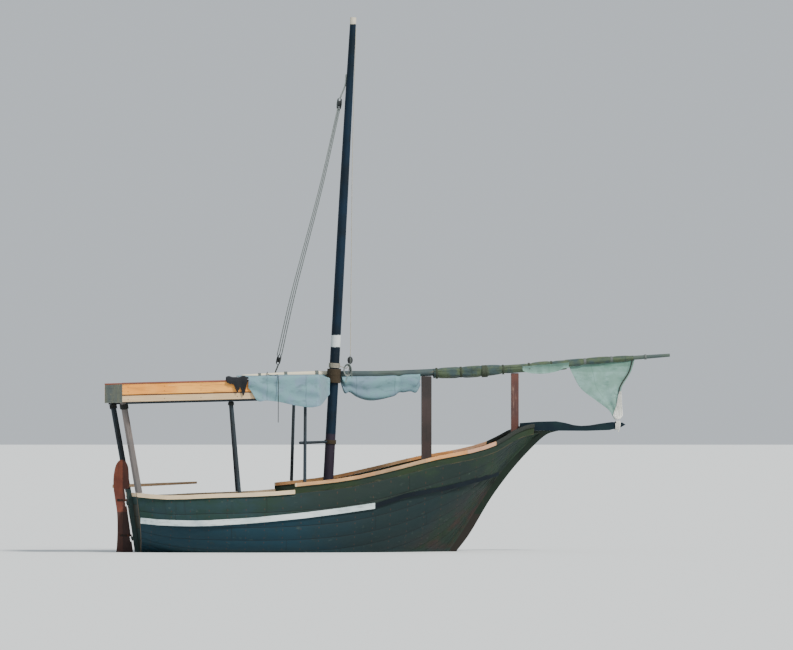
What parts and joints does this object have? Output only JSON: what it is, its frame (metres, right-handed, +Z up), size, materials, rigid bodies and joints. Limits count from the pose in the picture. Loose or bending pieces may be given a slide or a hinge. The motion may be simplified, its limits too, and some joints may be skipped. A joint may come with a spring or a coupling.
{
  "type": "small open sailing dhow",
  "caption": "Small open wooden sailing dhow with a sun roof on posts, a raked mast, a long lateen yard with its sail furled, and a stern-hung rudder with a tiller.",
  "frame": {"origin": "on the waterline, on the centreline, amidships", "axes": "+X forward to the beak, +Y to port, +Z up"},
  "size_m": [9.003, 2.4958, 9.1516],
  "materials": {
    "planking": "weathered paint",
    "underwater": "worn bottom paint",
    "stem": "weathered paint",
    "beak": "dark paint",
    "sternpost": "weathered paint",
    "rudder": "worn red-brown paint",
    "tiller": "bare wood",
    "cap": "worn bare wood",
    "bulwark": "weathered paint",
    "stripe": "white paint",
    "wale": "dark paint",
    "inside": "bare wood",
    "sole": "bare wood",
    "deck": "bare wood",
    "mast": "dark blue paint",
    "roof_deck": "bare wood",
    "side_board": "varnished",
    "trim": "red-brown paint",
    "end_board": "dark paint",
    "post_light": "bare wood",
    "post_dark": "dark paint",
    "crutch": "red-brown paint",
    "yard": "weathered pole",
    "sail": "thin sailcloth",
    "rope": "laid rope"
  },
  "bodies": {
    "boat": {"planking_port": "planking", "planking_starboard": "planking", "keel": "underwater", "stem": "stem", "beak": "beak", "sternpost": "sternpost", "transom": "planking", "gunwale_cap_port": "cap", "gunwale_cap_starboard": "cap", "bulwark_port": "bulwark", "bulwark_starboard": "bulwark", "bulwark_cap_port": "cap", "bulwark_cap_starboard": "cap", "transom_cap": "cap", "rub_rail_port": "stripe", "rub_rail_starboard": "stripe", "wale_port": "wale", "wale_starboard": "wale", "sole": "sole", "bench_port": "inside", "bench_starboard": "inside", "stern_seat": "inside", "thwart_aft": "inside", "thwart_mast": "inside", "foredeck": "deck", "mast_step": "inside", "mast": "mast", "roof_deck": "roof_deck", "roof_side_board_port": "side_board", "roof_side_board_starboard": "side_board", "roof_trim_port": "trim", "roof_trim_starboard": "trim", "roof_aft_board": "end_board", "roof_fore_board": "end_board", "roof_post_aft_starboard": "post_light", "roof_post_aft_port": "post_dark", "roof_post_mid_starboard": "post_dark", "roof_post_mid_port": "post_dark", "roof_post_fore_starboard": "post_dark", "roof_post_fore_port": "post_dark", "crutch_post_aft": "crutch", "crutch_post_fore": "crutch", "halyard": "rope", "fore_line": "rope"},
    "rudder": {"rudder": "rudder", "tiller": "tiller"},
    "rig": {"yard": "yard", "parrel": "rope", "sail_bunt_mid": "sail", "sail_furl": "sail", "sail_tack": "sail", "sail_bunt_aft": "sail"}
  },
  "joints": [
    {"name": "rudder_turn", "type": "hinge", "parent": "boat", "child": "rudder", "pos_m": [-2.716, 0, 0.4], "axis": [-0.1386, 0, 0.9903], "range_deg": [-35, 35]},
    {"name": "yard_hoist", "type": "slide", "parent": "boat", "child": "rig", "axis": [0.0547, 0, 0.9985], "range_m": [0, 2.5]}
  ]
}
